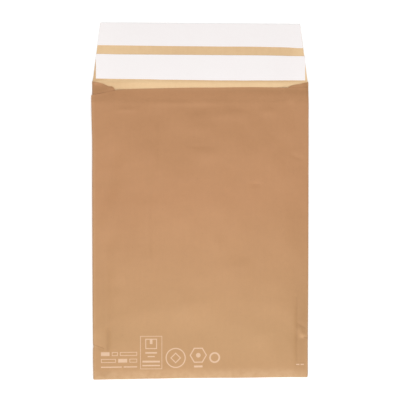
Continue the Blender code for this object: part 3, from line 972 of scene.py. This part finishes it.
def makeCushion():
    web = makeLiner()
    places = cellPoints()
    mesh = bpy.data.meshes.new("cellGuide")
    mesh.from_pydata([spot for spot, facing, height in places], [], [])
    up = np.array([(0, 0, facing) for spot, facing, height in places], np.float32)
    heights = [height for spot, facing, height in places]
    mesh.attributes.new("facing", "FLOAT_VECTOR", "POINT").data.foreach_set("vector", up.ravel())
    mesh.attributes.new("rise", "FLOAT", "POINT").data.foreach_set("value", heights)
    guide = added("cellGuide", mesh)
    cells = guide.modifiers.new("Cells", "NODES")
    cells.node_group = cellTree(web.data.materials[0])
    for socket in cells.node_group.interface.items_tree:
        if socket.in_out == "INPUT" and socket.name in cushion["cells"]:
            cells[socket.identifier] = cushion["cells"][socket.name]
    made = baked(guide, "cells")
    both = bmesh.new()
    both.from_mesh(web.data)
    both.from_mesh(made.data)
    both.to_mesh(web.data)
    both.free()
    bpy.data.objects.remove(made)
    web.name = "cushionLiner"
    return onBody(web, "cushion_liner")


# Release papers and the glue under them
bands = {
    "glueInset": 2.0 * mm, "glueThick": 0.1 * mm, "releaseThick": 0.12 * mm, "gap": 0.04 * mm,
    "sideMargin": 0.1 * mm, "squareMargin": -0.8 * mm, "shift": 0.3 * mm,
    "overhang": 0.15 * mm,  # of the narrow strip, past the flap's free edge
    "columns": 110, "rowPitch": 1.6 * mm,
}
# The strips are stuck on a little askew: x and shift of their lower and upper edges, in millimetres
stripEdges = {
    "return": (
        ((-111, 1.5), (-98, 1.25), (-84, 1.02), (-58, 0.86), (-44, 0.5), (-31, 0.46), (-4, 0.2),
         (22, -0.08), (36, 0.06), (49, -0.08), (63, 0.12), (76, 0.08), (89, 0.27), (103, 0.5)),
        ((-111, 0.43), (-92, 0.06), (-73, 0), (-54, 0), (-35, -0.07), (2, -0.09), (21, -0.16),
         (40, -0.16), (59, -0.15), (78, -0.21), (97, -0.54), (110, -0.7))),
    "closing": (
        ((-107, 0.6), (-88, 0.39), (-50, 0.1), (-12, -0.06), (26, -0.19), (45, -0.1), (64, -0.17),
         (83, -0.42), (98, -0.66), (108, -1.3)),
        ((-107, 0), (101, 0))),
}


def bandGrid(start, end, squareEnds, edges, margin, height):
    rows = round((end - start) / bands["rowPitch"])
    grid = {}
    for j in range(rows + 1):
        share = j / rows
        y = start + (end - start) * share
        half = flapHalfWidth(end if squareEnds else y) - margin
        x = np.linspace(-half, half, bands["columns"] + 1) + (bands["shift"] if squareEnds else 0.0)
        low, high = (table(edge, x) for edge in edges)
        y = y + low * (1 - share) + high * share
        z = flapSurface(x, y) + bag["paper"] / 2 + height
        for i in range(len(x)):
            grid[-i, j] = (x[i], y[i], z[i])  # columns run to the left, so that the faces look up
    return grid


def makeBands():
    papers, glues = [releasePaper()], [hotMelt()]
    closingEnd = bagHigh.y - flap["trim"] + bands["overhang"]
    spans = {"return": (returnLow.y, returnHigh.y, True), "closing": (closingLow.y, closingEnd, False)}
    inset, thick = bands["glueInset"], bands["glueThick"]
    for name, (start, end, square) in spans.items():
        margin = bands["squareMargin" if square else "sideMargin"]
        edges = stripEdges[name]
        height = bands["gap"] + thick / 2
        grid = bandGrid(start + inset, end - inset, square, edges, margin + inset, height)
        glue = sheetObject(name + "Adhesive", grid, thick, glues)
        onBody(glue, name + "_adhesive")
        height = 2 * bands["gap"] + thick + bands["releaseThick"] / 2
        grid = bandGrid(start, end, square, edges, margin, height)
        strip = sheetObject(name + "ReleaseStrip", grid, bands["releaseThick"], papers)
        onBody(strip, name + "_release_strip")


# Floor, light and camera
studio = {
    "floor": {"size": 6.0, "colour": (0.86, 0.86, 0.86, 1.0), "glow": 0.34,
              "roughness": 0.9, "specular": 0.0},
    "worldStrength": 0.42,
    # name, place, aim, size, watts
    "lights": (
        ("lowSoftbox", (-0.10, -0.95, 1.00), (0.0, -0.06, 0.0), (1.0, 0.7), 6.4),
        ("overhead", (0.02, -0.30, 1.60), (0.0, -0.05, 0.0), (0.9, 0.9), 10.5),
    ),
}
view = {"place": (-0.07199, 0.03628, 1.3), "turn": (-1.5463, -3.1403, 0.0340), "focalPixels": 1165.0,
        "imagePixels": 400}


def seenRays(tree):
    # 1 for what the camera sees, also in a gloss or through glass
    rays = addNode(tree, "ShaderNodeLightPath").outputs
    seen = rays["Is Camera Ray"]
    for ray in ("Is Glossy Ray", "Is Transmission Ray"):
        seen = addNode(tree, "ShaderNodeMath", {"operation": "MAXIMUM"}, {0: seen, 1: rays[ray]}).outputs[0]
    return seen


def makeFloor():
    look = studio["floor"]
    mesh = bpy.data.meshes.new("studioFloor")
    half = look["size"] / 2
    corners = [(-half, -half, 0), (half, -half, 0), (half, half, 0), (-half, half, 0)]
    mesh.from_pydata(corners, [], [(0, 1, 2, 3)])
    paint = Paint("studioFloor", look)
    paint.shader.inputs["Base Color"].default_value = look["colour"]
    # it glows only where it is seen, so that it is white behind the envelope and keeps its shadow
    strength = Value(paint, seenRays(paint.tree)) * look["glow"]
    glow = paint.node("ShaderNodeEmission", None, {"Strength": strength})
    both = paint.node("ShaderNodeAddShader", None, {0: paint.shader.outputs[0], 1: glow})
    paint.tree.links.new(both.socket, paint.tree.nodes["Material Output"].inputs["Surface"])
    mesh.materials.append(paint.material)
    added("studioFloor", mesh)


def makeLights():
    world = bpy.data.worlds.new("studio")
    world.use_nodes = True
    tree = world.node_tree
    background = tree.nodes["Background"].inputs
    background["Color"].default_value = (1, 1, 1, 1)
    lit = addNode(tree, "ShaderNodeMapRange", None, {
        "Value": seenRays(tree), "To Min": studio["worldStrength"], "To Max": 1.0})
    tree.links.new(lit.outputs["Result"], background["Strength"])
    bpy.context.scene.world = world
    for name, place, aim, (wide, tall), watts in studio["lights"]:
        light = bpy.data.lights.new(name, "AREA")
        light.shape, light.size, light.size_y, light.energy = "RECTANGLE", wide, tall, watts
        lamp = added(name, light)
        lamp.location = place
        lamp.rotation_euler = (Vector(aim) - Vector(place)).to_track_quat("-Z", "Y").to_euler()


def makeCamera():
    data = bpy.data.cameras.new("camera")
    data.sensor_width = 36.0
    data.lens = view["focalPixels"] * data.sensor_width / view["imagePixels"]
    camera = added("camera", data)
    camera.location = view["place"]
    camera.rotation_euler = [math.radians(a) for a in view["turn"]]
    bpy.context.scene.camera = camera


makeCamera()
makeLights()
makeFloor()
print("studio ready")
makeBag()
makeCushion()
makeBands()
bpy.context.scene.view_settings.view_transform = "Standard"
